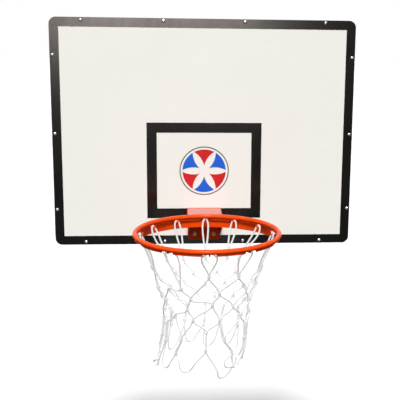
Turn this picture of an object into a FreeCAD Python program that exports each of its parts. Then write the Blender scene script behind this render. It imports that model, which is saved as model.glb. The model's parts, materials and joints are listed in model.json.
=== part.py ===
import FreeCAD
import Part
import math
import os

# Basketball backboard with a fixed ring and a hanging net, in millimetres.
# The origin is the middle of the four wall holes, on the plane that meets the wall.
# +X is to the right seen from the court, +Y points into the wall, +Z is up.

os.makedirs("parts", exist_ok=True)
vec = FreeCAD.Vector

# Board and the flat films on its face
board_width = 1085.0
board_height = 820.0
board_corner_radius = 25.0
panel_thickness = 12.0
film_thickness = 0.3
border_width = 33.0
target_width = 416.0
target_height = 353.0
target_line_width = 36.5
target_height_above_edge = 98.5
emblem_radius = 90.0
emblem_outline_width = 4.0
emblem_pane_radius = 79.0
emblem_pane_gap = 2.5
emblem_pane_count = 6

# Rivets that hold the panel to the frame
rivet_head_radius = 6.5
rivet_head_height = 4.0
rivet_shank_radius = 3.0
rivet_tail_radius = 4.5
rivet_tail_length = 6.0
rivet_hole_clearance = 0.1
rivet_pitch_along_width = 288.0
top_rivet_count = 4
rivet_pitch_along_height = 278.0
side_rivet_count = 3

# Steel frame behind the panel
rail_size = 20.0
rail_wall = 1.5
stile_width = 30.0
stile_wall = 2.0
channel_height = 40.0
channel_depth = 15.0
channel_wall = 3.0
channel_end_inset = 15.0
wall_hole_spacing_x = 400.0
wall_hole_spacing_z = 400.0
wall_hole_radius = 5.5

# Ring, net wire, hooks and brace
ring_inner_radius = 225.0
rod_radius = 8.0
ring_reach = 376.0
ring_height_above_edge = 138.0
weld_gap = 0.1
hook_count = 12
hook_angle_skew = 6.0
wire_radius = 3.2
wire_gap_length = 42.0
hook_wire_radius = 2.5
hook_root_inset = 2.5
hook_reach_in = 19.5
hook_drop = 13.5
hook_tip_rise = 10.5
hook_bend_radius = 3.5
brace_thickness = 5.0
brace_height = 32.0
brace_half_angle = 66.0
brace_end_radius = 12.0

# Bracket between ring and board
bracket_width = 120.0
bracket_plate = 5.0
bracket_top_drop = 1.0
back_plate_drop = 121.0
back_plate_corner_radius = 15.0
gusset_front_drop = 48.0
gusset_back_drop = 100.0
plate_edge_radius = 1.0

# Ring bolts
bolt_radius = 4.0
bolt_hole_clearance = 0.5
bolt_spacing = 70.0
bolt_low_height_above_edge = 40.0
bolt_head_height = 5.3
bolt_tip_length = 3.0
hex_across_flats = 13.0
washer_radius = 8.0
washer_thickness = 1.6
nut_height = 6.5
thread_clearance = 0.05

# Net cord, its loops on the hooks and its hem
cord_radius = 3.0
cord_clearance = 0.4
cord_bend_share = 0.45
loop_half_width = 8.0
belly_half_width_back = 11.0
belly_half_width_front = 30.0
belly_drop_back = 45.0
belly_drop_front = 28.0
belly_radius = 207.0
hem_half_steps = 5
hem_drop = 433.0
hem_radius = 141.0
hem_side_share = 0.70
hem_side_rise = 34.0
hem_turn_share = 0.45
hem_turn_rise = 8.0
hem_bottom_share = 0.23
net_lean = -25.0
net_lean_power = 5

# Knots of the net, one list entry for each row from the hooks down
row_drops = [116.0, 168.0, 208.0, 251.0, 290.0, 343.0]
row_tilts = [18.0, 11.0, 5.0, 0.0, 0.0, 0.0]
row_radii = [180.0, 160.0, 148.0, 140.0, 138.0, 139.0]
row_half_steps = [0, 1, 2, 3, 4, 4]
knot_lift = 4.0
knot_half_run = 9.0

# Unevenness of the net: how far a knot strays, and how fast that changes from place to place and row to row
drop_stray = 6.0
drop_stray_by_place = 2.1
drop_stray_by_row = -2.3
angle_stray = 2.0
angle_stray_by_place = 1.2
angle_stray_by_row = 1.7
hem_stray = 9.0
hem_stray_by_place = 1.6

# Knots that are placed one by one: place in half steps and row, then angle and drop
placed_knots = {
    (2, 0): (24.3, 132.0),
    (4, 0): (39.0, 127.0),
    (10, 0): (149.0, 99.0),
    (12, 0): (180.0, 94.0),
    (14, 0): (208.5, 138.0),
    (20, 0): (313.0, 127.0),
    (11, 1): (168.0, 154.0),
    (13, 1): (200.5, 176.0),
    (10, 2): (148.0, 206.0),
    (12, 2): (175.0, 195.0),
    (14, 2): (206.0, 213.0),
    (11, 3): (165.0, 250.0),
    (13, 3): (199.5, 251.0),
    (10, 4): (156.0, 316.0),
    (12, 4): (181.0, 290.0),
    (14, 4): (215.0, 322.0),
    (10, 5): (140.0, 374.0),
    (12, 5): (180.0, 347.0),
    (14, 5): (221.0, 369.0),
}

# Hem loops that are placed one by one: place in half steps, then angle, drop and step outwards
placed_hems = {
    9: (124.0, 432.0, -4.0),
    11: (149.0, 448.0, 4.0),
    13: (202.0, 423.0, 0.0),
    15: (235.0, 426.0, 0.0),
}

# Places that follow from the sizes above
half_width = board_width / 2
half_height = board_height / 2
rail_back = -channel_depth
panel_back = rail_back - rail_size
panel_face = panel_back - panel_thickness
film_face = panel_face - film_thickness
ring_y = panel_face - ring_reach
ring_z = ring_height_above_edge - half_height
rod_circle_radius = ring_inner_radius + rod_radius
rod_outer_radius = rod_circle_radius + rod_radius
wire_drop = rod_radius + weld_gap + wire_radius
brace_inner_radius = rod_circle_radius + wire_radius + weld_gap
brace_outer_radius = brace_inner_radius + brace_thickness
plate_face = film_face - bracket_plate
bolt_low = bolt_low_height_above_edge - half_height
bolt_places = [
    (side * bolt_spacing / 2, bolt_low + level * bolt_spacing)
    for side in (-1, 1)
    for level in (0, 1)
]
bolt_hole_radius = bolt_radius + bolt_hole_clearance
rivet_hole_radius = rivet_shank_radius + rivet_hole_clearance
rivet_inset = rail_size / 2


def evenly(count, pitch):
    """Places that are spaced by pitch and centred on zero."""
    return [(i - (count - 1) / 2) * pitch for i in range(count)]


rivet_places = [
    (x, side * (half_height - rivet_inset))
    for x in evenly(top_rivet_count, rivet_pitch_along_width)
    for side in (-1, 1)
] + [
    (side * (half_width - rivet_inset), z)
    for z in evenly(side_rivet_count, rivet_pitch_along_height)
    for side in (-1, 1)
]


def save(name, solids):
    """Writes one node; several solids become a group."""
    shape = solids if isinstance(solids, Part.Shape) else Part.makeCompound(solids)
    if not shape.isValid():
        raise ValueError(name + " is not a valid shape")
    shape.exportStep("parts/" + name + ".step")


def block(x, y, z):
    """A box from three pairs of limits."""
    size = [limits[1] - limits[0] for limits in (x, y, z)]
    return Part.makeBox(size[0], size[1], size[2], vec(x[0], y[0], z[0]))


def across(radius, x, z, y):
    """A cylinder along Y between two limits."""
    return Part.makeCylinder(radius, y[1] - y[0], vec(x, y[0], z), vec(0, 1, 0))


def upright(radius, z, angle=360.0):
    """A cylinder on the ring's axis between two heights, or the sector of it that faces the board."""
    axis = vec(0, 0, 1)
    shape = Part.makeCylinder(radius, z[1] - z[0], vec(0, ring_y, z[0]), axis, angle)
    return shape.rotated(vec(0, ring_y, 0), axis, (180.0 - angle) / 2)


def drilled(shape, radius, places, y):
    """The shape with holes along Y at the places."""
    return shape.cut(Part.makeCompound([across(radius, px, pz, y) for px, pz in places]))


def runs_along_y(edge):
    """Whether an edge is a straight one along Y."""
    return edge.BoundBox.YLength > max(edge.BoundBox.XLength, edge.BoundBox.ZLength)


def plate(width, height, radius, y):
    """An upright plate on the origin's axis with rounded corners."""
    shape = block((-width / 2, width / 2), y, (-height / 2, height / 2))
    return shape.makeFillet(radius, [e for e in shape.Edges if runs_along_y(e)])


def softened(shape):
    """The shape with its edges rounded a little."""
    return shape.makeFillet(plate_edge_radius, shape.Edges)


def prism(outline, along):
    """A prism on a closed outline of points."""
    return Part.Face(Part.makePolygon(outline + outline[:1])).extrude(along)


def hexagon(x, z, y):
    """A hexagonal prism along Y between two limits."""
    reach = hex_across_flats / 2 / math.cos(math.pi / 6)
    outline = [
        vec(x + reach * math.cos(i * math.pi / 3), y[0], z + reach * math.sin(i * math.pi / 3))
        for i in range(6)
    ]
    return prism(outline, vec(0, y[1] - y[0], 0))


def station(step):
    """The angle of a hook, or of a place between hooks; they lie a little closer together at the back."""
    angle = 360.0 / hook_count * step
    return angle - hook_angle_skew * math.sin(math.radians(angle))


def on_ring(angle, radius, drop, slide=0.0):
    """A point by its angle in degrees from the board side, radius, drop and slide along the ring."""
    turn = math.radians(angle)
    x = radius * math.sin(turn) + slide * math.cos(turn)
    y = radius * math.cos(turn) - slide * math.sin(turn)
    return vec(x, ring_y + y, ring_z - drop)


def bent_path(points, bend_radius=None):
    """Straight runs joined by tangent arcs, as large as the runs allow if no radius is given."""
    edges, radii = [], []
    start = points[0]
    for before, corner, after in zip(points, points[1:], points[2:]):
        back, on = before - corner, after - corner
        reach = cord_bend_share * min(back.Length, on.Length)
        half_turn = back.getAngle(on) / 2
        if bend_radius:
            reach = bend_radius / math.tan(half_turn)
        back.normalize()
        on.normalize()
        middle = back + on
        middle.normalize()
        radius = reach * math.tan(half_turn)
        top = corner + middle * (reach / math.cos(half_turn) - radius)
        edges.append(Part.makeLine(start, corner + back * reach))
        edges.append(Part.Arc(corner + back * reach, top, corner + on * reach).toShape())
        radii.append(radius)
        start = corner + on * reach
    edges.append(Part.makeLine(start, points[-1]))
    return Part.Wire(edges), radii


def bar(path, radius):
    """A round bar along a path."""
    first = path.OrderedEdges[0]
    begin = path.OrderedVertexes[0].Point
    outline = Part.makeCircle(radius, begin, first.tangentAt(first.FirstParameter))
    return path.makePipeShell([Part.Wire(outline)], True, False)


def make_board():
    """The white panel with the black border, the target and the emblem as films on its face."""
    panel = plate(board_width, board_height, board_corner_radius, (panel_face, panel_back))
    panel = drilled(panel, rivet_hole_radius, rivet_places, (panel_face, panel_back))
    save("board_panel", drilled(panel, bolt_hole_radius, bolt_places, (panel_face, panel_back)))

    film = (film_face, panel_face)
    border = plate(board_width, board_height, board_corner_radius, film)
    inner_x = half_width - border_width
    inner_z = half_height - border_width
    border = border.cut(block((-inner_x, inner_x), film, (-inner_z, inner_z)))
    save("border_film", drilled(border, rivet_hole_radius, rivet_places, film))

    low = target_height_above_edge - half_height
    high = low + target_height
    side = target_width / 2
    target = block((-side, side), film, (low, high))
    inside = side - target_line_width
    window = (low + target_line_width, high - target_line_width)
    target = target.cut(block((-inside, inside), film, window))
    save("target_film", drilled(target, bolt_hole_radius, bolt_places, film))

    middle = (window[0] + window[1]) / 2
    outline = across(emblem_radius, 0, middle, film)
    hollow = across(emblem_radius - emblem_outline_width, 0, middle, film)
    save("emblem_outline_film", outline.cut(hollow))
    panes = ([], [])
    for i in range(emblem_pane_count):
        panes[i % 2].append(emblem_pane(360.0 / emblem_pane_count * i, middle, film))
    save("emblem_blue_film", panes[0])
    save("emblem_red_film", panes[1])


def emblem_pane(angle, middle, film):
    """The coloured pane between two petals of a rosette."""
    def place(turn, radius):
        turn = math.radians(turn)
        return radius * math.cos(turn), middle + radius * math.sin(turn)

    step = 360.0 / emblem_pane_count
    reach = emblem_pane_radius / math.cos(math.radians(step / 2))
    corners = [(0.0, middle), place(angle, reach), place(angle + step, reach)]
    sector = prism([vec(x, film[0], z) for x, z in corners], vec(0, film[1] - film[0], 0))
    pane = sector.common(across(emblem_pane_radius, 0, middle, film))
    for turn in (angle - step, angle + 2 * step):
        x, z = place(turn, emblem_pane_radius)
        pane = pane.cut(across(emblem_pane_radius + emblem_pane_gap, x, z, film))
    return pane


def make_rivets():
    """Domed rivets through border, panel and the front wall of the rails."""
    grip_end = panel_back + rail_wall
    ball = (rivet_head_radius ** 2 + rivet_head_height ** 2) / (2 * rivet_head_height)
    rim = math.degrees(math.asin((ball - rivet_head_height) / ball))
    rivets = []
    for x, z in rivet_places:
        centre = vec(x, film_face - rivet_head_height + ball, z)
        head = Part.makeSphere(ball, centre, vec(0, -1, 0), rim, 90.0, 360.0)
        shank = across(rivet_shank_radius, x, z, (film_face, grip_end))
        tail = across(rivet_tail_radius, x, z, (grip_end, grip_end + rivet_tail_length))
        rivets.append(head.fuse([shank, tail]).removeSplitter())
    save("border_rivets", rivets)


def make_frame():
    """A loop of square tube in four mitred rails, two stiles behind the ring and two wall channels."""
    depth = (panel_back, rail_back)
    hollow_depth = (panel_back + rail_wall, rail_back - rail_wall)
    loop = plate(board_width, board_height, board_corner_radius, depth)
    inner_x = half_width - rail_size
    inner_z = half_height - rail_size
    loop = loop.cut(block((-inner_x, inner_x), depth, (-inner_z, inner_z)))
    hollow = plate(
        board_width - 2 * rail_wall,
        board_height - 2 * rail_wall,
        board_corner_radius - rail_wall,
        hollow_depth,
    )
    core_x = inner_x + rail_wall
    core_z = inner_z + rail_wall
    hollow = hollow.cut(block((-core_x, core_x), hollow_depth, (-core_z, core_z)))
    loop = loop.cut(hollow)
    loop = drilled(loop, rivet_hole_radius, rivet_places, (panel_back, panel_back + rail_wall))
    thickness = vec(0, rail_size, 0)
    for name, sign in (("rail_top", 1), ("rail_bottom", -1)):
        outer, inner = sign * half_height, sign * inner_z
        mitre = [(-half_width, outer), (half_width, outer), (inner_x, inner), (-inner_x, inner)]
        save(name, loop.common(prism([vec(x, panel_back, z) for x, z in mitre], thickness)))
    for name, sign in (("rail_right", 1), ("rail_left", -1)):
        outer, inner = sign * half_width, sign * inner_x
        mitre = [(outer, -half_height), (outer, half_height), (inner, inner_z), (inner, -inner_z)]
        save(name, loop.common(prism([vec(x, panel_back, z) for x, z in mitre], thickness)))

    for name, sign in (("stile_left", -1), ("stile_right", 1)):
        x = sign * bolt_spacing / 2
        half = stile_width / 2
        stile = block((x - half, x + half), depth, (-inner_z, inner_z))
        bore = half - stile_wall
        bore_depth = (depth[0] + stile_wall, depth[1] - stile_wall)
        stile = stile.cut(block((x - bore, x + bore), bore_depth, (-inner_z, inner_z)))
        save(name, drilled(stile, bolt_hole_radius, bolt_places, depth))

    end = half_width - channel_end_inset
    for name, sign in (("wall_channel_upper", 1), ("wall_channel_lower", -1)):
        z = sign * wall_hole_spacing_z / 2
        half = channel_height / 2
        channel = block((-end, end), (rail_back, 0.0), (z - half, z + half))
        inside = half - channel_wall
        channel = channel.cut(block((-end, end), (rail_back, -channel_wall), (z - inside, z + inside)))
        holes = [(side * wall_hole_spacing_x / 2, z) for side in (-1, 1)]
        save(name, drilled(channel, wall_hole_radius, holes, (-channel_wall, 0.0)))


def make_ring():
    """The rod, the net wire in runs between the hooks, the hooks and the brace under the back of the rod."""
    rod = Part.makeTorus(rod_circle_radius, rod_radius, vec(0, ring_y, ring_z))
    save("ring_rod", rod)

    gap_half = math.degrees(wire_gap_length / 2 / rod_circle_radius)
    runs = []
    for i in range(hook_count):
        first, last = station(i) + gap_half, station(i + 1) - gap_half
        ends = [on_ring(a, rod_circle_radius, wire_drop) for a in (first, (first + last) / 2, last)]
        runs.append(bar(Part.Wire(Part.Arc(ends[0], ends[1], ends[2]).toShape()), wire_radius))
    save("net_wire", runs)

    hooks = []
    root = rod_circle_radius - hook_root_inset
    tip = root - hook_reach_in
    tip_drop = hook_drop - hook_tip_rise
    route = [(root, rod_radius / 2), (root, hook_drop), (tip, hook_drop), (tip, tip_drop)]
    for i in range(hook_count):
        points = [on_ring(station(i), radius, drop) for radius, drop in route]
        path, _ = bent_path(points, hook_bend_radius)
        hooks.append(bar(path, hook_wire_radius).cut(rod))
    save("net_hooks", hooks)

    top = ring_z - rod_radius - weld_gap
    height = (top - brace_height, top)
    brace = upright(brace_outer_radius, height, 2 * brace_half_angle)
    brace = brace.cut(upright(brace_inner_radius, height))
    middle = (height[0] + height[1]) / 2
    low_corners = [e for e in brace.Edges if e.Length < brace_height and e.BoundBox.ZMax < middle]
    save("ring_brace", softened(brace.makeFillet(brace_end_radius, low_corners)))


def make_bracket():
    """The welded box bracket that carries the ring on the board."""
    half = bracket_width / 2
    top = ring_z - bracket_top_drop
    under = top - bracket_plate
    back_plate = block((-half, half), (plate_face, film_face), (ring_z - back_plate_drop, top))
    low_corners = [e for e in back_plate.Edges if runs_along_y(e) and e.BoundBox.ZMax < under]
    back_plate = softened(back_plate.makeFillet(back_plate_corner_radius, low_corners))
    save("bracket_back_plate", drilled(back_plate, bolt_hole_radius, bolt_places, (plate_face, film_face)))

    top_plate = block((-half, half), (ring_y, plate_face), (under, top))
    save("bracket_top_plate", softened(top_plate.cut(upright(rod_outer_radius + weld_gap, (under, top)))))

    stand_off = brace_outer_radius + weld_gap
    outline = [
        vec(0, plate_face, under),
        vec(0, ring_y, under),
        vec(0, ring_y, ring_z - gusset_front_drop),
        vec(0, ring_y + stand_off, ring_z - gusset_front_drop),
        vec(0, plate_face, ring_z - gusset_back_drop),
    ]
    reach = upright(stand_off, (ring_z - back_plate_drop, top))
    for name, x in (("bracket_gusset_left", -half), ("bracket_gusset_right", half - bracket_plate)):
        gusset = prism([point + vec(x, 0, 0) for point in outline], vec(bracket_plate, 0, 0))
        save(name, softened(gusset.cut(reach)))


def make_bolts():
    """Four bolts through bracket, panel and stiles, with washers under heads and nuts."""
    head_seat = plate_face - washer_thickness
    nut_seat = rail_back + washer_thickness
    tip = nut_seat + nut_height + bolt_tip_length
    bolts, front_washers, back_washers, nuts = [], [], [], []
    bore = bolt_radius + thread_clearance
    for x, z in bolt_places:
        head = hexagon(x, z, (head_seat - bolt_head_height, head_seat))
        bolts.append(head.fuse(across(bolt_radius, x, z, (head_seat, tip))).removeSplitter())
        for washers, y in ((front_washers, (head_seat, plate_face)), (back_washers, (rail_back, nut_seat))):
            washers.append(across(washer_radius, x, z, y).cut(across(bolt_hole_radius, x, z, y)))
        nut_depth = (nut_seat, nut_seat + nut_height)
        nuts.append(hexagon(x, z, nut_depth).cut(across(bore, x, z, nut_depth)))
    save("ring_bolts", bolts)
    save("ring_bolt_washers", front_washers)
    save("ring_nut_washers", back_washers)
    save("ring_nuts", nuts)


def hanging(angle, radius, drop, slide=0.0):
    """A point of the net, which leans to one side towards its hem."""
    return on_ring(angle, radius, drop, slide) + vec(net_lean * (drop / hem_drop) ** net_lean_power, 0, 0)


def knot(place, row, layer, rise):
    """A point above or below the middle of a knot; layer 1 is the outer strand and -1 the inner one."""
    seed = place % (2 * hook_count)
    if (seed, row) in placed_knots:
        angle, drop = placed_knots[seed, row]
    else:
        angle = station(seed / 2)
        angle += angle_stray * math.sin(angle_stray_by_place * seed + angle_stray_by_row * row)
        drop = row_drops[row] + row_tilts[row] * math.cos(math.radians(angle))
        drop += drop_stray * math.sin(drop_stray_by_place * seed + drop_stray_by_row * row)
    return hanging(angle, row_radii[row] + layer * knot_lift, drop - rise)


def hem_bottom(place):
    """Angle, drop and step outwards of the lowest point of the hem loop at a place in half steps."""
    seed = place % (2 * hook_count)
    stray = hem_stray * math.sin(hem_stray_by_place * seed)
    return placed_hems.get(seed, (station(seed / 2), hem_drop + stray, 0.0))


def net_leg(hook, layer):
    """One leg of a cord from the top of its loop to the middle of a hem loop."""
    angle = station(hook)
    frontness = (1 - math.cos(math.radians(angle))) / 2
    belly = belly_half_width_back + frontness * (belly_half_width_front - belly_half_width_back)
    belly_drop = belly_drop_back + frontness * (belly_drop_front - belly_drop_back)
    loop_top = hook_drop - hook_wire_radius - cord_radius - cord_clearance
    loop_radius = rod_circle_radius - hook_root_inset - hook_reach_in / 2
    leg = [
        hanging(angle, loop_radius, loop_top, -layer * loop_half_width),
        hanging(angle, belly_radius, belly_drop, -layer * belly),
    ]
    for row, half_steps in enumerate(row_half_steps):
        for rise in (knot_half_run, -knot_half_run):
            leg.append(knot(2 * hook + layer * half_steps, row, layer, rise))
    hem_place = 2 * hook + layer * hem_half_steps
    hem_angle, low, step_out = hem_bottom(hem_place)
    half_gap = hem_radius * math.radians(abs(station(hem_place / 2) - station((hem_place - layer) / 2)))
    hem_points = [
        (hem_side_share * half_gap, hem_side_rise, layer * knot_lift),
        (hem_turn_share * half_gap, hem_turn_rise, 0.0),
        (hem_bottom_share * half_gap, 0.0, 0.0),
        (0.0, 0.0, 0.0),
    ]
    for aside, rise, lift in hem_points:
        leg.append(hanging(hem_angle, hem_radius + step_out + lift, low - rise, -layer * aside))
    return leg


def make_net():
    """One cord for each hook; its two legs run down from the hook to the hem as crossing strands."""
    cords, radii, lengths = [], [], []
    for hook in range(hook_count):
        path, bends = bent_path(net_leg(hook, 1)[::-1] + net_leg(hook, -1))
        cords.append(bar(path, cord_radius))
        radii.extend(bends)
        lengths.append(path.Length)
    save("net_cords", cords)
    print("net cords: tightest bend %.1f mm" % min(radii))
    print("net cords: lengths %.0f to %.0f mm, in all %.0f mm" % (min(lengths), max(lengths), sum(lengths)))


make_board()
make_rivets()
make_frame()
make_ring()
make_bracket()
make_bolts()
make_net()
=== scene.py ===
# %% [markdown]
# # A basketball backboard, from bare solids to a finished picture
# The board, its steel frame, the ring and the bracket arrive as finished CAD solids in metres.
# This lesson sets up the photographer's camera, knots a cord net on to the hooks,
# adds the small things a workshop leaves behind, such as weld beads and rivet pins,
# and gives every surface a finish made of shader nodes.

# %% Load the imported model
import json
import math

import bmesh
import bpy
from mathutils import Matrix, Vector


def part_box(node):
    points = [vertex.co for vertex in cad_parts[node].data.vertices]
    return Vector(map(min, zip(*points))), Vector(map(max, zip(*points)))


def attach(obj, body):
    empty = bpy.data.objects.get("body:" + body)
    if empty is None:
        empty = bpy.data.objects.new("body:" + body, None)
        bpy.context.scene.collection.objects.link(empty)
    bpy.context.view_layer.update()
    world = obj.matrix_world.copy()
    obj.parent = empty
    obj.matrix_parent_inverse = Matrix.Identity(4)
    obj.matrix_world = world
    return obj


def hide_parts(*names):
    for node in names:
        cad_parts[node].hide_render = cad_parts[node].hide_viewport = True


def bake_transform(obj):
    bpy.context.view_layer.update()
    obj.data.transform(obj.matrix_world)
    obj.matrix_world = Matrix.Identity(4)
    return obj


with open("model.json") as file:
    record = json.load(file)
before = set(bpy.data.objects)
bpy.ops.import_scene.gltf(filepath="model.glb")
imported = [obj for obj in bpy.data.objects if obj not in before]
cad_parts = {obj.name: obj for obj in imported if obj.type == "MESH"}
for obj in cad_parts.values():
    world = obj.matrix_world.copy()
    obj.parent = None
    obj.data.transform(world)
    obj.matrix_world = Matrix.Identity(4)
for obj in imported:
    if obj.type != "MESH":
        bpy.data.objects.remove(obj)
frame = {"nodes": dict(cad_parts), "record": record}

scene = bpy.context.scene
parts = frame["nodes"]
record = frame["record"]
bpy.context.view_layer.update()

# %% [markdown]
# ## The camera
# The photograph was taken from in front of the board, a little left of its middle and at the height of its
# upper edge, looking slightly down. A camera can be aimed by hand, but here its place, its turn and its
# focal length were worked out from the board's corners and the ring's ellipse, so they are typed in.
# The picture is a crop, so the lens's axis isn't in its middle: the shift takes care of that.

# %% Camera
picture_size = 400
focal_length_px = 835.7
axis_px = (252.7, 189.1)
sensor_width = 36.0
camera_place = Vector((-0.0844, -3.0582, 0.4057))
camera_right = Vector((0.99634, -0.08428, 0.01414))
camera_up = Vector((0.00284, 0.19810, 0.98018))
view_reach = 200.0

lens = bpy.data.cameras.new("portrait_camera")
lens.sensor_width = sensor_width
lens.lens = focal_length_px * sensor_width / picture_size
lens.shift_x = 0.5 - axis_px[0] / picture_size
lens.shift_y = axis_px[1] / picture_size - 0.5
lens.clip_end = view_reach
camera = bpy.data.objects.new("portrait_camera", lens)
scene.collection.objects.link(camera)
turn = Matrix((camera_right, camera_up, camera_right.cross(camera_up))).transposed()
camera.matrix_world = Matrix.Translation(camera_place) @ turn.to_4x4()
scene.camera = camera
print("camera with a lens of %.1f mm" % lens.lens)

# %% [markdown]
# ## The route of the net
# A net like this can be tied from one cord. From every hook two legs run down, one to each side. They meet the
# legs of the neighbouring hooks at the knots, row by row, and end in a loop at the hem.
# The points of each leg are the ones that the CAD solids follow. Most knots lie on even rows with a little
# unevenness from sine waves, and those that show best are placed one by one.
# The leg to the right ends where the leg of the fifth hook further on ends, so all twelve
# pieces follow each other in one closed round.

# %% Places on the ring
hook_count = 12
hook_angle_skew = 6.0
rod_low, rod_high = (Vector(corner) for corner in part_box("ring_rod"))
ring_centre = (rod_low + rod_high) / 2
rod_radius = (rod_high.z - rod_low.z) / 2
rod_circle_radius = (rod_high.x - rod_low.x) / 2 - rod_radius


def station(step):
    """The angle of a hook, or of a place between two hooks, from the back of the ring."""
    angle = 360.0 / hook_count * step
    return angle - hook_angle_skew * math.sin(math.radians(angle))


def on_ring(angle, radius, drop, slide=0.0):
    """A point by its angle on the ring, its distance from the middle and its drop below the rod."""
    turn = math.radians(angle)
    outwards = Vector((math.sin(turn), math.cos(turn), 0.0))
    onwards = Vector((math.cos(turn), -math.sin(turn), 0.0))
    return ring_centre + radius * outwards + slide * onwards - Vector((0.0, 0.0, drop))


print("ring of %.0f mm, middle of the rod" % (2000 * rod_circle_radius))

# %% Knots and hem loops
net_lean = -0.025
net_lean_power = 5
hem_drop = 0.433
hem_stray = 0.009
hem_stray_by_place = 1.6
row_drops = [0.116, 0.168, 0.208, 0.251, 0.290, 0.343]
row_tilts = [0.018, 0.011, 0.005, 0.0, 0.0, 0.0]
row_radii = [0.180, 0.160, 0.148, 0.140, 0.138, 0.139]
knot_lift = 0.0029
knot_half_run = 0.009
drop_stray = 0.006
drop_stray_by_place = 2.1
drop_stray_by_row = -2.3
angle_stray = 2.0
angle_stray_by_place = 1.2
angle_stray_by_row = 1.7
placed_knots = {
    (2, 0): (24.3, 0.132),
    (4, 0): (39.0, 0.127),
    (10, 0): (149.0, 0.099),
    (12, 0): (180.0, 0.094),
    (14, 0): (208.5, 0.138),
    (20, 0): (313.0, 0.127),
    (11, 1): (168.0, 0.154),
    (13, 1): (200.5, 0.176),
    (10, 2): (148.0, 0.206),
    (12, 2): (175.0, 0.195),
    (14, 2): (206.0, 0.213),
    (11, 3): (165.0, 0.250),
    (13, 3): (199.5, 0.251),
    (10, 4): (156.0, 0.316),
    (12, 4): (181.0, 0.290),
    (14, 4): (215.0, 0.322),
    (10, 5): (140.0, 0.374),
    (12, 5): (180.0, 0.347),
    (14, 5): (221.0, 0.369),
}
placed_hems = {
    9: (124.0, 0.432, -0.004),
    11: (149.0, 0.448, 0.004),
    13: (202.0, 0.423, 0.0),
    15: (235.0, 0.426, 0.0),
}


def hanging(angle, radius, drop, slide=0.0):
    """A point of the net, which leans to one side towards its hem."""
    lean = net_lean * (drop / hem_drop) ** net_lean_power
    return on_ring(angle, radius, drop, slide) + Vector((lean, 0.0, 0.0))


def knot(place, row, layer, rise):
    """Where a leg passes a knot, above or below its middle; a place counts half steps between hooks."""
    if (place, row) in placed_knots:
        angle, drop = placed_knots[place, row]
    else:
        angle = station(place / 2)
        angle += angle_stray * math.sin(angle_stray_by_place * place + angle_stray_by_row * row)
        drop = row_drops[row] + row_tilts[row] * math.cos(math.radians(angle))
        drop += drop_stray * math.sin(drop_stray_by_place * place + drop_stray_by_row * row)
    return hanging(angle, row_radii[row] + layer * knot_lift, drop - rise)


def hem_bottom(place):
    """Angle, drop and step outwards of the lowest point of a hem loop."""
    stray = hem_stray * math.sin(hem_stray_by_place * place)
    return placed_hems.get(place, (station(place / 2), hem_drop + stray, 0.0))


print("knots placed one by one:", len(placed_knots), "and hem loops:", len(placed_hems))

# %% One leg of the cord
cord_radius = 0.0030
cord_clearance = 0.0004
hook_wire_radius = 0.0025
hook_root_inset = 0.0025
hook_reach_in = 0.0195
hook_drop = 0.0135
loop_half_width = 0.008
belly_half_width_back = 0.011
belly_half_width_front = 0.030
belly_drop_back = 0.045
belly_drop_front = 0.028
belly_radius = 0.207
row_half_steps = [0, 1, 2, 3, 4, 4]
hem_half_steps = 5
hem_radius = 0.141
hem_side_share = 0.70
hem_side_rise = 0.034
hem_turn_share = 0.45
hem_turn_rise = 0.008
hem_bottom_share = 0.23
place_count = 2 * hook_count


def net_leg(hook, layer):
    """Named points of one leg, from the hook down; layer is 1 for the outer leg and -1 for the inner one."""
    angle = station(hook)
    frontness = (1.0 - math.cos(math.radians(angle))) / 2
    belly = belly_half_width_back + frontness * (belly_half_width_front - belly_half_width_back)
    belly_drop = belly_drop_back + frontness * (belly_drop_front - belly_drop_back)
    loop_top = hook_drop - hook_wire_radius - cord_radius - cord_clearance
    loop_radius = rod_circle_radius - hook_root_inset - hook_reach_in / 2
    leg = [
        ("loop", hanging(angle, loop_radius, loop_top, -layer * loop_half_width)),
        ("belly", hanging(angle, belly_radius, belly_drop, -layer * belly)),
    ]
    for row, half_steps in enumerate(row_half_steps):
        place = (2 * hook + layer * half_steps) % place_count
        for rise in (knot_half_run, -knot_half_run):
            leg.append(((place, row), knot(place, row, layer, rise)))
    hem_place = 2 * hook + layer * hem_half_steps
    hem_angle, low, step_out = hem_bottom(hem_place % place_count)
    half_gap = hem_radius * math.radians(abs(station(hem_place / 2) - station((hem_place - layer) / 2)))
    hem_points = [
        (hem_side_share * half_gap, hem_side_rise, layer * knot_lift),
        (hem_turn_share * half_gap, hem_turn_rise, 0.0),
        (hem_bottom_share * half_gap, 0.0, 0.0),
        (0.0, 0.0, 0.0),
    ]
    for aside, rise, lift in hem_points:
        point = hanging(hem_angle, hem_radius + step_out + lift, low - rise, -layer * aside)
        leg.append(("hem", point))
    return leg


print("points on one leg:", len(net_leg(0, 1)))

# %% The closed round
route = []
hook = 0
for _ in range(hook_count):
    up = net_leg(hook, 1)[-2::-1]
    down = net_leg(hook, -1)
    route += up + down
    hook = (hook - hem_half_steps) % hook_count
print("route of the net:", len(route), "points")

# %% [markdown]
# ## Reading a smooth line
# A cord has no corners. A NURBS spline of order 3 takes the route's points as its control points
# and glides past them. Blender turns a curve without a bevel into a row of vertices, and that row
# is the line that the cord's surface follows.

# %% From control points to a line
spline_order = 3
steps_per_point = 9


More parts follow.
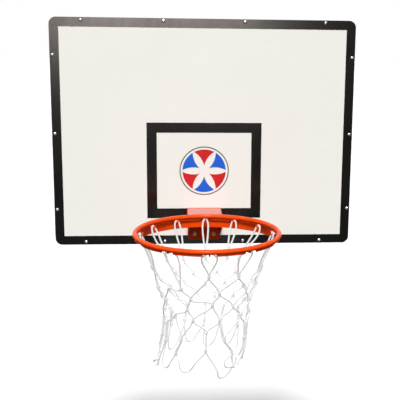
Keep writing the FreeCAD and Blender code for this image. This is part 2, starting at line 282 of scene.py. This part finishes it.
def smooth_line(control_points, closed):
    """Read the NURBS spline of these control points as a row of points."""
    curve = bpy.data.curves.new("line", "CURVE")
    curve.dimensions = "3D"
    spline = curve.splines.new("NURBS")
    spline.points.add(len(control_points) - 1)
    for control, point in zip(spline.points, control_points):
        control.co = (*point, 1.0)
    spline.use_cyclic_u = closed
    spline.order_u = spline_order
    spline.use_endpoint_u = not closed
    spline.resolution_u = steps_per_point
    carrier = bpy.data.objects.new("line", curve)
    mesh = bpy.data.meshes.new_from_object(carrier)
    line = [vertex.co.copy() for vertex in mesh.vertices]
    bpy.data.objects.remove(carrier)
    bpy.data.curves.remove(curve)
    bpy.data.meshes.remove(mesh)
    return line


def lengths_along(line):
    """How far each point lies from the start of the line."""
    lengths = [0.0]
    for before, after in zip(line, line[1:]):
        lengths.append(lengths[-1] + (after - before).length)
    return lengths


net_line = smooth_line([point for _, point in route], closed=True)
net_line.append(net_line[0])
print("cord of the net: %.2f m, read at %d points" % (lengths_along(net_line)[-1], len(net_line)))

# %% [markdown]
# ## Sweeping a cord along its line
# A tube could come from the curve's own bevel, but then the braid would stretch where the control points are
# far apart. Here a circle is extruded from one point of the line to the next, and each ring remembers how far
# along the cord it is. The circle is carried along without twisting, and on a closed line the angle that is
# left over at the end is shared out over the whole length, so the last ring meets the first.
# The length and the way round become the cord's own UV map, in turns of the braid.
# A long cord is made in stretches that are merged afterwards, because extruding gets slower as a mesh grows.

# %% Carrying a frame along a line
merge_distance = 0.000004


def carried_frames(line):
    """One matrix for each point of the line, with its z axis along the line and as little twist as can be."""
    closed = (line[0] - line[-1]).length < merge_distance
    last = len(line) - 1
    tangents = []
    for i in range(last + 1):
        before, after = line[max(i - 1, 0)], line[min(i + 1, last)]
        if closed and i in (0, last):
            before, after = line[last - 1], line[1]
        tangents.append((after - before).normalized())
    sides = [tangents[0].orthogonal().normalized()]
    for before, after in zip(tangents, tangents[1:]):
        sides.append(before.rotation_difference(after) @ sides[-1])
    leftover = 0.0
    if closed:
        leftover = math.atan2(sides[-1].cross(sides[0]).dot(tangents[0]), sides[-1].dot(sides[0]))
    frames = []
    for i, (point, tangent, side) in enumerate(zip(line, tangents, sides)):
        side = Matrix.Rotation(leftover * i / last, 3, tangent) @ side
        axes = Matrix((side, tangent.cross(side), tangent)).transposed()
        frames.append(Matrix.Translation(point) @ axes.to_4x4())
    return frames


print("frames along the net:", len(carried_frames(net_line)))

# %% Extruding a circle
cord_sides = 10
frames_per_stretch = 200
braid_turn = 0.013


def swept(line, radius, capped):
    """A tube round the line, as a bmesh with a UV map of turns along and way round."""
    frames, lengths = carried_frames(line), lengths_along(line)
    tube = bmesh.new()
    for first in range(0, len(line) - 1, frames_per_stretch):
        stretch = bmesh.new()
        along = stretch.verts.layers.float.new("along")
        spoke = stretch.verts.layers.int.new("spoke")
        start = bmesh.ops.create_circle(stretch, segments=cord_sides, radius=radius, matrix=frames[first])
        for i, vertex in enumerate(start["verts"]):
            vertex[spoke] = i
            vertex[along] = lengths[first]
        rim = list(stretch.edges)
        for i in range(first + 1, min(first + frames_per_stretch, len(line) - 1) + 1):
            made = bmesh.ops.extrude_edge_only(stretch, edges=rim)["geom"]
            rim = [g for g in made if isinstance(g, bmesh.types.BMEdge) and g.is_boundary]
            ring = [g for g in made if isinstance(g, bmesh.types.BMVert)]
            bmesh.ops.transform(stretch, matrix=frames[i] @ frames[i - 1].inverted(), verts=ring)
            for vertex in ring:
                vertex[along] = lengths[i]
        turns = stretch.loops.layers.uv.new("braid")
        for face in stretch.faces:
            spokes = [loop.vert[spoke] for loop in face.loops]
            seam = max(spokes) - min(spokes) > 1
            for loop, number in zip(face.loops, spokes):
                number += cord_sides if seam and number == 0 else 0
                loop[turns].uv = (loop.vert[along] / braid_turn, number / cord_sides)
        add_to(tube, stretch)
    bmesh.ops.remove_doubles(tube, verts=tube.verts, dist=merge_distance)
    if capped:
        bmesh.ops.holes_fill(tube, edges=[edge for edge in tube.edges if edge.is_boundary])
    bmesh.ops.recalc_face_normals(tube, faces=tube.faces)
    return tube


def add_to(whole, piece, matrix=Matrix.Identity(4)):
    """Move a bmesh into another one, and free it."""
    bmesh.ops.transform(piece, matrix=matrix, verts=piece.verts)
    mesh = bpy.data.meshes.new("carry")
    piece.to_mesh(mesh)
    whole.from_mesh(mesh)
    bpy.data.meshes.remove(mesh)
    piece.free()


def finished(name, shape, smooth=True):
    """Make a bmesh an object at the origin."""
    mesh = bpy.data.meshes.new(name)
    shape.to_mesh(mesh)
    shape.free()
    for polygon in mesh.polygons:
        polygon.use_smooth = smooth
    piece = bpy.data.objects.new(name, mesh)
    scene.collection.objects.link(piece)
    print(name, "has", len(mesh.polygons), "faces")
    return piece


net_strands = finished("net_strands", swept(net_line, cord_radius, capped=False))

# %% [markdown]
# ## The knots
# At each knot one leg passes the other, and a hitch of the same cord holds them together. A hitch can be modelled
# strand by strand, but at this size two slanting turns that cross in front read as a knot from every side.
# One turn is a closed spline of eight points. It is laid round both legs: its long way points from one leg
# to the other, and its axis runs down the net.

# %% Knots
wrap_radius = 0.0019
wrap_slant = 24.0
# of each turn: which way it slants, half its long way and half its short way
wrap_layers = ((1, 0.0072, 0.0046), (-1, 0.0076, 0.0050))
wrap_point_count = 8
wrap_line_step = 4

passes = {}
for name, point in route:
    if isinstance(name, tuple):
        passes.setdefault(name, []).append(point)

net_wraps = bmesh.new()
for _, points in sorted(passes.items()):
    one, other = (points[0] + points[1]) / 2, (points[2] + points[3]) / 2
    middle = (one + other) / 2
    across = (other - one).normalized()
    down = Vector((0.0, 0.0, -1.0))
    down = (down - down.dot(across) * across).normalized()
    for side, long_half, short_half in wrap_layers:
        tilt = Matrix.Rotation(math.radians(side * wrap_slant), 3, across)
        long_way, short_way = long_half * across, tilt @ (short_half * down.cross(across))
        turn_points = []
        for i in range(wrap_point_count):
            angle = 2 * math.pi * i / wrap_point_count
            turn_points.append(middle + math.cos(angle) * long_way + math.sin(angle) * short_way)
        line = smooth_line(turn_points, closed=True)[::wrap_line_step]
        add_to(net_wraps, swept(line + line[:1], wrap_radius, capped=False))
net_knots = finished("net_knots", net_wraps)
print("knots:", len(passes))

# %% [markdown]
# ## Loose ends
# Where a net was tied off or a strand gave way, short ends hang out of the knots. They are splines with a few points
# of their own, given by angle, distance from the middle and drop, and they start inside a knot.

# %% Loose ends
loose_ends = {
    "curl": [
        (140.0, 0.139, 0.374), (145.0, 0.146, 0.375), (151.0, 0.149, 0.381), (154.0, 0.150, 0.394),
        (151.5, 0.151, 0.408), (144.0, 0.152, 0.416), (137.0, 0.153, 0.408), (136.0, 0.154, 0.391),
        (140.0, 0.155, 0.380),
    ],
    "tail": [(165.0, 0.140, 0.250), (164.0, 0.146, 0.272), (162.5, 0.149, 0.298), (157.5, 0.152, 0.324)],
    "stub": [(262.0, 0.141, 0.424), (266.0, 0.146, 0.429), (272.0, 0.148, 0.438), (277.0, 0.149, 0.449)],
}
loose = bmesh.new()
for name, points in loose_ends.items():
    line = smooth_line([hanging(*point) for point in points], closed=False)
    print(name, "%.0f mm" % (1000 * lengths_along(line)[-1]))
    add_to(loose, swept(line, cord_radius, capped=True))
net_ends = finished("net_ends", loose)

# %% [markdown]
# ## Putting the net in place
# The new strands, knots and ends keep the shape they were made in, and the CAD solid of the net's cords is hidden,
# since the new strands stand in its place.

# %% Bake the net in place
for piece in (net_strands, net_knots, net_ends):
    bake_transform(piece)
    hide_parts("net_cords")

# %% [markdown]
# ## Weld beads
# The ring, its brace, the bracket's plates and the frame behind the board are welded, and paint doesn't hide the
# beads. A bead is swept along the seam like a thin cord. It lies half sunk in the corner, and the paint's bump
# gives it its ripples. The frame is the same on both sides, so its seams are taken from the right half alone.

# %% Welds
bead_radius = 0.0026
bead_inset = 0.004
plate_high = Vector(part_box("bracket_top_plate")[1])
gusset_low, gusset_high = (Vector(corner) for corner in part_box("bracket_gusset_right"))
seams = []
for side in (-1, 1):
    outer, inner = side * gusset_high.x, side * gusset_low.x
    seams.append([
        (outer, gusset_low.y + bead_inset, gusset_high.z),
        (outer, gusset_high.y - bead_inset, gusset_high.z),
    ])
    seams.append([
        (inner, gusset_high.y, gusset_low.z + bead_inset),
        (inner, gusset_high.y, gusset_high.z - bead_inset),
    ])
seams.append([
    (-gusset_high.x + bead_inset, plate_high.y, plate_high.z - bead_radius / 2),
    (gusset_high.x - bead_inset, plate_high.y, plate_high.z - bead_radius / 2),
])
stitch_angles = (-58.0, -40.0, -25.0, 25.0, 40.0, 58.0)
stitch_spread = (-3.0, 0.0, 3.0)
brace_high = Vector(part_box("ring_brace")[1])
brace_side = 0.003
for angle in stitch_angles:
    for side in (-brace_side, brace_side):
        radius, drop = rod_circle_radius + side, ring_centre.z - brace_high.z
        seams.append([on_ring(angle + spread, radius, drop) for spread in stitch_spread])


def welded(name, seams):
    """Lay a bead along each seam, which has two or more points."""
    beads = bmesh.new()
    for seam in seams:
        ends = [Vector(point) for point in seam]
        middle = [ends[0].lerp(ends[-1], 0.5)] if len(ends) == 2 else ends[1:-1]
        add_to(beads, swept(smooth_line(ends[:1] + middle + ends[-1:], closed=False), bead_radius, capped=True))
    piece = finished(name, beads)
    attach(piece, "backboard")
    return piece


weld_beads = welded("weld_beads", seams)

# %% Welds of the frame
corner_round = 0.025
rail_low, rail_high = (Vector(corner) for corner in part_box("rail_right"))
stile_low, stile_high = (Vector(corner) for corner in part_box("stile_right"))
back = rail_high.y
trim = corner_round * (1.0 - math.sqrt(0.5)) + bead_inset
channels = [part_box(name) for name in ("wall_channel_lower", "wall_channel_upper")]
frame_seams = []
for side in (-1, 1):
    stile = side * (stile_low.x + bead_inset), side * (stile_high.x - bead_inset)
    tack = side * rail_low.x, side * (rail_low.x + bead_inset)
    for up in (-1, 1):
        end = up * stile_high.z
        frame_seams.append([(x, back, end) for x in stile])
        outer = (side * (rail_high.x - trim), back, up * (rail_high.z - trim))
        frame_seams.append([(tack[0], back, end), outer])
    for corner in (corner for box in channels for corner in box):
        for ends in (stile, tack):
            frame_seams.append([(x, back, corner[2]) for x in ends])
frame_beads = welded("frame_beads", frame_seams)
print("seams on the frame:", len(frame_seams))

# %% [markdown]
# ## Rivet pins
# A pulled rivet keeps the broken pin in the middle of its head. It is a small thing, but a bare dome looks like a
# button. Each pin starts as a circle, which is extruded, inset and pushed in to leave a rim.

# %% Pins
pin_radius = 0.0017
pin_height = 0.0006
pin_rim = 0.0005
pin_sides = 14
rivet_x = (-0.432, -0.144, 0.144, 0.432)
rivet_z = (-0.278, 0.0, 0.278)
rivet_edge_inset = 0.010
rivets_low = Vector(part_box("border_rivets")[0])
panel_high = Vector(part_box("board_panel")[1])
edge_x, edge_z = panel_high.x - rivet_edge_inset, panel_high.z - rivet_edge_inset
rivet_places = [(x, side * edge_z) for x in rivet_x for side in (-1, 1)]
rivet_places += [(side * edge_x, z) for z in rivet_z for side in (-1, 1)]

pins = bmesh.new()
facing_court = Matrix.Rotation(math.radians(90.0), 4, "X")
for x, z in rivet_places:
    pin = bmesh.new()
    bmesh.ops.create_circle(pin, cap_ends=True, segments=pin_sides, radius=pin_radius)
    top = bmesh.ops.extrude_face_region(pin, geom=list(pin.faces))["geom"]
    raised = [g for g in top if isinstance(g, bmesh.types.BMVert)]
    bmesh.ops.translate(pin, vec=(0.0, 0.0, pin_height), verts=raised)
    cap = [g for g in top if isinstance(g, bmesh.types.BMFace)]
    bmesh.ops.inset_region(pin, faces=cap, thickness=pin_rim, depth=-pin_rim / 2)
    bmesh.ops.recalc_face_normals(pin, faces=pin.faces)
    add_to(pins, pin, Matrix.Translation((x, rivets_low.y + pin_height / 2, z)) @ facing_court)
rivet_pins = finished("rivet_pins", pins, smooth=False)
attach(rivet_pins, "backboard")

# %% [markdown]
# ## Shader maths in Python
# A finish is a small calculation done at every point of a surface. Wiring it node by node is hard to read,
# so a wrapper lets a socket take part in Python sums: each + or * adds a Math node.
# All other nodes come from one method that takes the type, the settings and the sockets.

# %% A socket that can be calculated with
class Wire:
    """An output socket of a node tree, or the tree alone."""

    def __init__(self, tree, socket=None):
        self.tree = tree
        self.socket = socket

    def add(self, kind, settings=None, sockets=None, output=0):
        """Add a node, set it up, join its sockets and return one of its outputs."""
        node = self.tree.nodes.new(kind)
        for name, value in (settings or {}).items():
            setattr(node, name, value)
        for name, value in (sockets or {}).items():
            if isinstance(value, Wire):
                self.tree.links.new(value.socket, node.inputs[name])
            else:
                node.inputs[name].default_value = value
        return Wire(self.tree, node.outputs[output])

    def math(self, operation, first, second=0.0):
        """Add a Math node."""
        return self.add("ShaderNodeMath", {"operation": operation}, {0: first, 1: second})

    def __add__(self, other):
        return self.math("ADD", self, other)

    def __sub__(self, other):
        return self.math("SUBTRACT", self, other)

    def __rsub__(self, other):
        return self.math("SUBTRACT", other, self)

    def __mul__(self, other):
        return self.math("MULTIPLY", self, other)

    __radd__ = __add__
    __rmul__ = __mul__

    def sine(self):
        return self.math("SINE", self)

    def larger(self, other):
        return self.math("MAXIMUM", self, other)

    def stepped(self, low, high):
        """0 below low, 1 above high and a straight slope between."""
        return self.add("ShaderNodeMapRange", None, {"Value": self, "From Min": low, "From Max": high})


print("the wrapper knows +, -, *, sine, larger and stepped")

# %% Helpers for finishes
def new_finish(name, constants):
    """A material, a Wire for its tree and its shader, with the constant sockets set."""
    material = bpy.data.materials.new(name)
    material.use_nodes = True
    shader = material.node_tree.nodes["Principled BSDF"]
    for socket, value in constants.items():
        shader.inputs[socket].default_value = value
    return material, Wire(material.node_tree), shader


def feed(shader, links):
    """Join what changes over the surface to the shader's sockets."""
    for name, wire in links.items():
        wire.tree.links.new(wire.socket, shader.inputs[name])


def place_of(tree):
    """Object coordinates, in metres."""
    return tree.add("ShaderNodeTexCoord", output="Object")


def axes_of(vector):
    """The x, y and z of a vector."""
    return [vector.add("ShaderNodeSeparateXYZ", None, {0: vector}, output=i) for i in range(3)]


def speckle(place, scale, detail=3.0, roughness=0.5):
    """Soft noise between 0 and 1."""
    sockets = {"Vector": place, "Scale": scale, "Detail": detail, "Roughness": roughness}
    return place.add("ShaderNodeTexNoise", None, sockets)


def stretched(place, scale):
    """Coordinates drawn out along some of the axes."""
    return place.add("ShaderNodeMapping", None, {"Vector": place, "Scale": scale})


def mixed(factor, one, other):
    """One colour where the factor is 0, the other where it is 1."""
    sockets = {0: factor, 6: one, 7: other}
    return factor.add("ShaderNodeMix", {"data_type": "RGBA"}, sockets, output=2)


def bumped(height, distance, strength):
    """A normal from a height, where a height of 1 stands for this distance in metres."""
    sockets = {"Height": height, "Distance": distance, "Strength": strength}
    return height.add("ShaderNodeBump", None, sockets)


finishes = {}
print("helpers ready")

# %% [markdown]
# ## White laminate
# The board is a white plastic laminate that has seen balls: satin, very slightly mottled, with faint scuffs.
# A photograph of laminate would do for one board, but noise has no edges and no size of its own.
# The scuffs are the same noise, drawn out sideways and cut off so that only its peaks show.

# %% White laminate
laminate_shades = (0.896, 0.877, 0.829, 1.0), (0.861, 0.841, 0.786, 1.0)
scuff_shade = (0.46, 0.44, 0.41, 1.0)
laminate_grain_depth = 0.00008
material, tree, shader = new_finish("white_laminate", {"Specular IOR Level": 0.4})
place = place_of(tree)
mottle = speckle(place, 5.0, 4.0)
scuffs = speckle(stretched(place, (14.0, 1.0, 55.0)), 1.4, 5.0, 0.7).stepped(0.60, 0.80)
grain = speckle(place, 900.0, 2.0)
clean = mixed(mottle, *laminate_shades)
feed(shader, {
    "Base Color": mixed(0.16 * scuffs, clean, scuff_shade),
    "Roughness": 0.38 + 0.12 * mottle + 0.12 * scuffs,
    "Normal": bumped(grain, laminate_grain_depth, 0.5),
})
finishes["white_laminate"] = material
print("white_laminate: mottled and scuffed")

# %% [markdown]
# ## Films
# Border, target and emblem are cut from self-adhesive film. It is glossier than the laminate and shows a fine
# orange-peel skin. One loop makes every colour from a deep and a faded tone, and upright wipe marks
# change how sharply the film mirrors.

# %% Coloured films
film_skin_depth = 0.00006
film_colours = {
    "black_film": ((0.0018, 0.0015, 0.0012, 1.0), (0.0040, 0.0034, 0.0027, 1.0)),
    "grey_film": ((0.115, 0.120, 0.125, 1.0), (0.165, 0.170, 0.172, 1.0)),
    "blue_film": ((0.010, 0.105, 0.640, 1.0), (0.016, 0.140, 0.720, 1.0)),
    "red_film": ((0.600, 0.010, 0.014, 1.0), (0.690, 0.016, 0.020, 1.0)),
}
for name, (deep, faded) in film_colours.items():
    material, tree, shader = new_finish(name, {"Specular IOR Level": 0.7})
    place = place_of(tree)
    cloud = speckle(place, 9.0, 4.0)
    wipes = speckle(stretched(place, (40.0, 1.0, 6.0)), 1.1, 4.0, 0.6)
    feed(shader, {
        "Base Color": mixed(cloud, deep, faded),
        "Roughness": 0.15 + 0.08 * cloud + 0.06 * wipes,
        "Normal": bumped(speckle(place, 520.0, 2.0), film_skin_depth, 0.5),
    })
    finishes[name] = material
print("films:", ", ".join(film_colours))

# %% [markdown]
# ## Ring paint
# Ring and bracket carry a thick orange-red powder coat. Its skin is gently pebbled, and on what faces up, where balls
# and hands rub it, it is duller and lighter in spots. Paint flows out smooth on a level plate before it is baked,
# so flat tops get a glossy coat, and the rest hardly has that coat. Under that coat, flat tops carry painted shade: a
# darker red.
# The weld beads get the same paint with ripples along their own UV map.

# %% Ring paint
ripple_pitch = 0.003
ripple_depth = 0.0006
ring_skin_depth = 0.00012
ring_shades = (0.670, 0.042, 0.0015, 1.0), (0.750, 0.064, 0.003, 1.0)
level_painted_shade = (0.230, 0.012, 0.0010, 1.0)
rubbed_shade = (0.90, 0.26, 0.10, 1.0)


def weld_ripples(tree, skin):
    """The height of a weld bead's ripples along its own UV map, with a little of the paint's skin."""
    along = axes_of(tree.add("ShaderNodeUVMap", {"uv_map": "braid"}))[0]
    return 0.15 * skin + 0.85 * (along * (2 * math.pi * braid_turn / ripple_pitch)).sine()


def ring_paint(name, rippled):
    """Orange-red powder coat, pebbled or with the ripples of a weld."""
    constants = {"Specular IOR Level": 0.05, "Coat Roughness": 0.10, "Coat IOR": 1.76}
    material, tree, shader = new_finish(name, constants)
    place = place_of(tree)
    upwards = axes_of(tree.add("ShaderNodeNewGeometry", output="Normal"))[2]
    level = upwards.stepped(0.96, 1.0)
    cloud = speckle(place, 16.0, 4.0)
    rubbed = speckle(place, 70.0, 6.0, 0.7).stepped(0.56, 0.72) * upwards.stepped(0.1, 0.9)
    pebbles = speckle(place, 620.0, 2.0)
    # flat tops turn a darker red under the coat: painted shade
    paint = mixed(0.75 * level, mixed(cloud, *ring_shades), level_painted_shade)
    height = weld_ripples(tree, pebbles) if rippled else pebbles
    feed(shader, {
        "Base Color": mixed(0.35 * rubbed, paint, rubbed_shade),
        "Roughness": 0.24 + 0.10 * cloud + 0.22 * rubbed,
        "Coat Weight": 0.05 + 0.95 * level,
        "Normal": bumped(height, ripple_depth if rippled else ring_skin_depth, 0.6),
    })
    return material


finishes["ring_paint"] = ring_paint("ring_paint", rippled=False)
weld_paint = ring_paint("weld_paint", rippled=True)
print("ring_paint and weld_paint")

# %% [markdown]
# ## Frame paint and steel
# The frame behind the board is painted black and gathers dust on what faces up. The rivets are zinc plated: bright
# metal with a faint crystal pattern and streaks. On the ring's bolts, nuts and washers the zinc has worn and a
# film of rust shows, so they are the same metal in dull brown shades. The thread is a bump that runs along the bolt.

# %% Frame paint
frame_skin_depth = 0.00010
frame_shade = (0.022, 0.022, 0.023, 1.0)
dust_shade = (0.21, 0.20, 0.18, 1.0)


def frame_paint(name, rippled):
    """Black paint with dust on top, plain or with the ripples of a weld."""
    material, tree, shader = new_finish(name, {"Specular IOR Level": 0.45})
    place = place_of(tree)
    facing_up = axes_of(tree.add("ShaderNodeNewGeometry", output="Normal"))[2].stepped(0.3, 0.95)
    cloud = speckle(place, 22.0, 5.0, 0.6)
    dust = facing_up * cloud.stepped(0.35, 0.75)
    skin = speckle(place, 700.0, 2.0)
    height = weld_ripples(tree, skin) if rippled else skin
    feed(shader, {
        "Base Color": mixed(0.7 * dust, frame_shade, dust_shade),
        "Roughness": 0.40 + 0.14 * cloud + 0.30 * dust,
        "Normal": bumped(height, ripple_depth if rippled else frame_skin_depth, 0.6),
    })
    return material


finishes["frame_paint"] = frame_paint("frame_paint", rippled=False)
frame_weld_paint = frame_paint("frame_weld_paint", rippled=True)
print("frame_paint and frame_weld_paint: dusty on top")

# %% Steel
thread_pitch = 0.00125
thread_depth = 0.0004
streak_depth = 0.00005
zinc_shades = (0.60, 0.60, 0.58, 1.0), (0.78, 0.775, 0.745, 1.0)
dull_shades = (0.340, 0.160, 0.085, 1.0), (0.520, 0.275, 0.170, 1.0)


def steel(name, shades, smoothest, threaded=False):
    """Plated metal in two shades, with a thread along y or without."""
    material, tree, shader = new_finish(name, {"Specular IOR Level": 0.5, "Metallic": 1.0})
    place = place_of(tree)
    crystals = tree.add("ShaderNodeTexVoronoi", None, {"Vector": place, "Scale": 420.0}, output="Color")
    flake = axes_of(crystals)[0]
    streaks = speckle(stretched(place, (900.0, 60.0, 900.0)), 1.0, 3.0)
    height = streaks
    if threaded:
        turns = (axes_of(place)[1] * (2 * math.pi / thread_pitch)).sine()
        height = 0.2 * streaks + 0.4 * turns
    feed(shader, {
        "Base Color": mixed(flake, *shades),
        "Roughness": smoothest + 0.12 * flake + 0.10 * streaks,
        "Normal": bumped(height, thread_depth if threaded else streak_depth, 0.6),
    })
    return material


finishes["zinc_steel"] = steel("zinc_steel", zinc_shades, 0.24)
finishes["dark_steel"] = steel("dark_steel", dull_shades, 0.34)
threaded_steel = steel("threaded_steel", dull_shades, 0.34, threaded=True)
print("zinc_steel, dark_steel and threaded_steel")

# %% [markdown]
# ## Braided cord
# The net is white braided nylon. Two sets of ridges wind round the cord in opposite ways, and the higher one wins at
# each point, which gives the diamonds of a braid. They follow the cord's own UV map, so they turn with it.
# Blotches of dirt darken the cord, its grooves carry painted shade, and light scatters inside the fibres, so the cord
# has no hard shadow side.

# %% Braided cord
braid_ridges_round = 4.0
braid_ridges_along = 2.0
braid_depth = 0.0004
cord_shade = (0.80, 0.80, 0.795, 1.0)
dirt_and_painted_shade = (0.44, 0.43, 0.41, 1.0)
material, tree, shader = new_finish("net_cord", {
    "Specular IOR Level": 0.25,
    "Subsurface Weight": 0.8,
    "Subsurface Radius": (1.0, 1.0, 1.0),
    "Subsurface Scale": 0.004,
})
turns = tree.add("ShaderNodeUVMap", {"uv_map": "braid"})
along, round_about, _ = axes_of(turns)
one_way = (2 * math.pi * (braid_ridges_round * round_about + braid_ridges_along * along)).sine()
other_way = (2 * math.pi * (braid_ridges_round * round_about - braid_ridges_along * along)).sine()
braid = one_way.larger(other_way) * 0.5 + 0.5
place = place_of(tree)
soil = speckle(place, 26.0, 4.0).stepped(0.35, 0.80)
fibres = speckle(place, 2400.0, 2.0)
groove_painted_shade = 1.0 - braid.stepped(0.45, 0.85)
feed(shader, {
    # soil is dirt; the darker grooves are painted shade
    "Base Color": mixed(0.08 * soil + 0.14 * groove_painted_shade, cord_shade, dirt_and_painted_shade),
    "Roughness": 0.72 + 0.12 * soil,
    "Normal": bumped(0.85 * braid + 0.15 * fibres, braid_depth, 0.8),
})
finishes["net_cord"] = material
print("net_cord: braided")

# %% [markdown]
# ## Putting the finishes on
# The record says which finish each solid takes, so a loop can dress them all.

# %% Dress the solids
def dress(piece, material):
    """Put one finish on a whole piece."""
    if not piece.material_slots:
        piece.data.materials.append(material)
    for slot in piece.material_slots:
        slot.material = material


for entry in record["subparts"]:
    dress(parts[entry["node"]], finishes[entry["material_slot"]])
dress(parts["ring_bolts"], threaded_steel)
new_pieces = {
    net_strands: finishes["net_cord"],
    net_knots: finishes["net_cord"],
    net_ends: finishes["net_cord"],
    weld_beads: weld_paint,
    frame_beads: frame_weld_paint,
    rivet_pins: finishes["zinc_steel"],
}
for piece, finish in new_pieces.items():
    dress(piece, finish)
print("dressed", len(record["subparts"]), "solids and", len(new_pieces), "new pieces")

# %% [markdown]
# ## Floor and light
# The picture is a plain studio shot: everything round the object is white, and a faint shadow lies under it.
# A broad sun-like light from above and in front does most of the work. A long card behind the camera, to the
# left, lights nothing by itself: it is there for the black film along the top of the board to mirror.
# The floor looks pale to the camera but throws little light back up, as it would be far below a real board.

# %% Floor
floor_height = -1.60
floor_half = 40.0
paper_shades = (0.640, 0.640, 0.640, 1.0), (0.660, 0.660, 0.660, 1.0)
unseen_shade = (0.04, 0.04, 0.04, 1.0)
ground = bmesh.new()
bmesh.ops.create_grid(ground, x_segments=1, y_segments=1, size=floor_half)
bmesh.ops.translate(ground, vec=(0.0, 0.0, floor_height), verts=ground.verts)
floor = finished("floor", ground, smooth=False)
material, tree, shader = new_finish("floor_paper", {"Specular IOR Level": 0.1})
paper = speckle(place_of(tree), 2.0)
seen = tree.add("ShaderNodeLightPath", output="Is Camera Ray")
feed(shader, {
    "Base Color": mixed(seen, unseen_shade, mixed(paper, *paper_shades)),
    "Roughness": 0.85 + 0.05 * paper,
})
dress(floor, material)

# %% Lights
frame_origin = (0.0, 0.0, 0.0)
key_strength = 4.7
key_spread = 12.0
key_place = (-0.15, -3.0, 4.9)
card_width, card_height = 2.4, 0.5
card_watts = 46.0
card_tint = (1.0, 0.89, 0.83)
card_place = (-0.42, -6.0, 0.5)
card_target = (0.0, 0.0, 0.3)


def aimed(name, lamp, place, target):
    """Put a lamp at a place and turn it to a target."""
    light = bpy.data.objects.new(name, lamp)
    aim = Vector(target) - Vector(place)
    light.matrix_world = Matrix.Translation(place) @ aim.to_track_quat("-Z", "Y").to_matrix().to_4x4()
    scene.collection.objects.link(light)
    print(name, "%.1f" % lamp.energy)
    return light


key = bpy.data.lights.new("key_light", "SUN")
key.energy = key_strength
key.angle = math.radians(key_spread)
key_light = aimed("key_light", key, key_place, frame_origin)
card = bpy.data.lights.new("front_card", "AREA")
card.shape = "RECTANGLE"
card.size, card.size_y = card_width, card_height
card.energy = card_watts
card.color = card_tint
mirrored = aimed("front_card", card, card_place, card_target)
mirrored.visible_diffuse = False

# %% [markdown]
# ## Light for the net and the ring
# White cord glows under light from all round, and a hard key would draw a dark side on every strand. Light linking
# lets a lamp shine on chosen pieces only: the net leaves the key's list and gets two very wide lights of its own
# from opposite sides, and three small lamps hang in its middle, for the insides of the far strands.
# One more wide light fills the inside of the ring, where a white room would throw light back on the red.

# %% Light linking
def shine_on(name, lights, pieces, only=True):
    """Let lights reach these pieces only, or every piece but these."""
    listed = bpy.data.collections.new(name)
    for piece in pieces:
        listed.objects.link(piece)
    for entry in listed.collection_objects:
        entry.light_linking.link_state = "INCLUDE" if only else "EXCLUDE"
    for light in lights:
        light.light_linking.receiver_collection = listed


def wide_sun(name, energy, spread, place):
    """A very soft light without a shadow."""
    lamp = bpy.data.lights.new(name, "SUN")
    lamp.energy = energy
    lamp.angle = math.radians(spread)
    lamp.use_shadow = False
    return aimed(name, lamp, place, frame_origin)


# %% Light on the net
net_light_strength, net_light_place = 3.5, (-0.3, -2.0, 1.2)
net_fill_strength, net_fill_place = 2.55, (0.3, 2.0, -2.5)
net_light_spread = 170.0
net_lamp_drops = (0.12, 0.24, 0.36)
net_lamp_watts = 0.15
net_lamp_radius = 0.05
net_pieces = (net_strands, net_knots, net_ends)
net_lights = [
    wide_sun("net_light", net_light_strength, net_light_spread, net_light_place),
    wide_sun("net_fill", net_fill_strength, net_light_spread, net_fill_place),
]
for drop in net_lamp_drops:
    glow = bpy.data.lights.new("net_lamp", "POINT")
    glow.energy = net_lamp_watts
    glow.shadow_soft_size = net_lamp_radius
    net_lights.append(aimed("net_lamp", glow, on_ring(0.0, 0.0, drop), on_ring(0.0, 0.0, hem_drop)))
shine_on("lit_softly", net_lights, net_pieces)
shine_on("not_lit_by_the_key", [key_light], net_pieces, only=False)

# %% Light on the ring
ring_fill_strength, ring_fill_place = 1.6, (0.0, -2.0, -1.2)
ring_fill_spread = 150.0
ring_pieces = [parts[name] for name in ("ring_rod", "ring_brace", "net_wire", "net_hooks")] + [weld_beads]
ring_fill = wide_sun("ring_fill", ring_fill_strength, ring_fill_spread, ring_fill_place)
shine_on("lit_ring", [ring_fill], ring_pieces)

# %% [markdown]
# ## Surroundings
# A world of one white would light the object from below as much as from above. This one is white to the camera
# alone. For all other rays it is dim at the horizon, brighter overhead, and brightest behind the board,
# where a white studio wall would stand.

# %% Surroundings
sky_strength = 0.50
ground_strength = 0.06
backdrop_strength = 0.90
world = bpy.data.worlds.new("studio")
world.use_nodes = True
scene.world = world
tree = Wire(world.node_tree)
seen = tree.add("ShaderNodeLightPath", output="Is Camera Ray")
direction = tree.add("ShaderNodeTexCoord", output="Generated")
_, away, upwards = axes_of(direction)
light = ground_strength + (sky_strength - ground_strength) * upwards.stepped(0.0, 0.6)
light = light + backdrop_strength * away.stepped(0.2, 0.7)
strength = seen + (1.0 - seen) * light
backdrop = world.node_tree.nodes["Background"]
backdrop.inputs["Color"].default_value = (1.0, 1.0, 1.0, 1.0)
world.node_tree.links.new(strength.socket, backdrop.inputs["Strength"])
scene.view_settings.view_transform = "Standard"
print("surroundings ready")
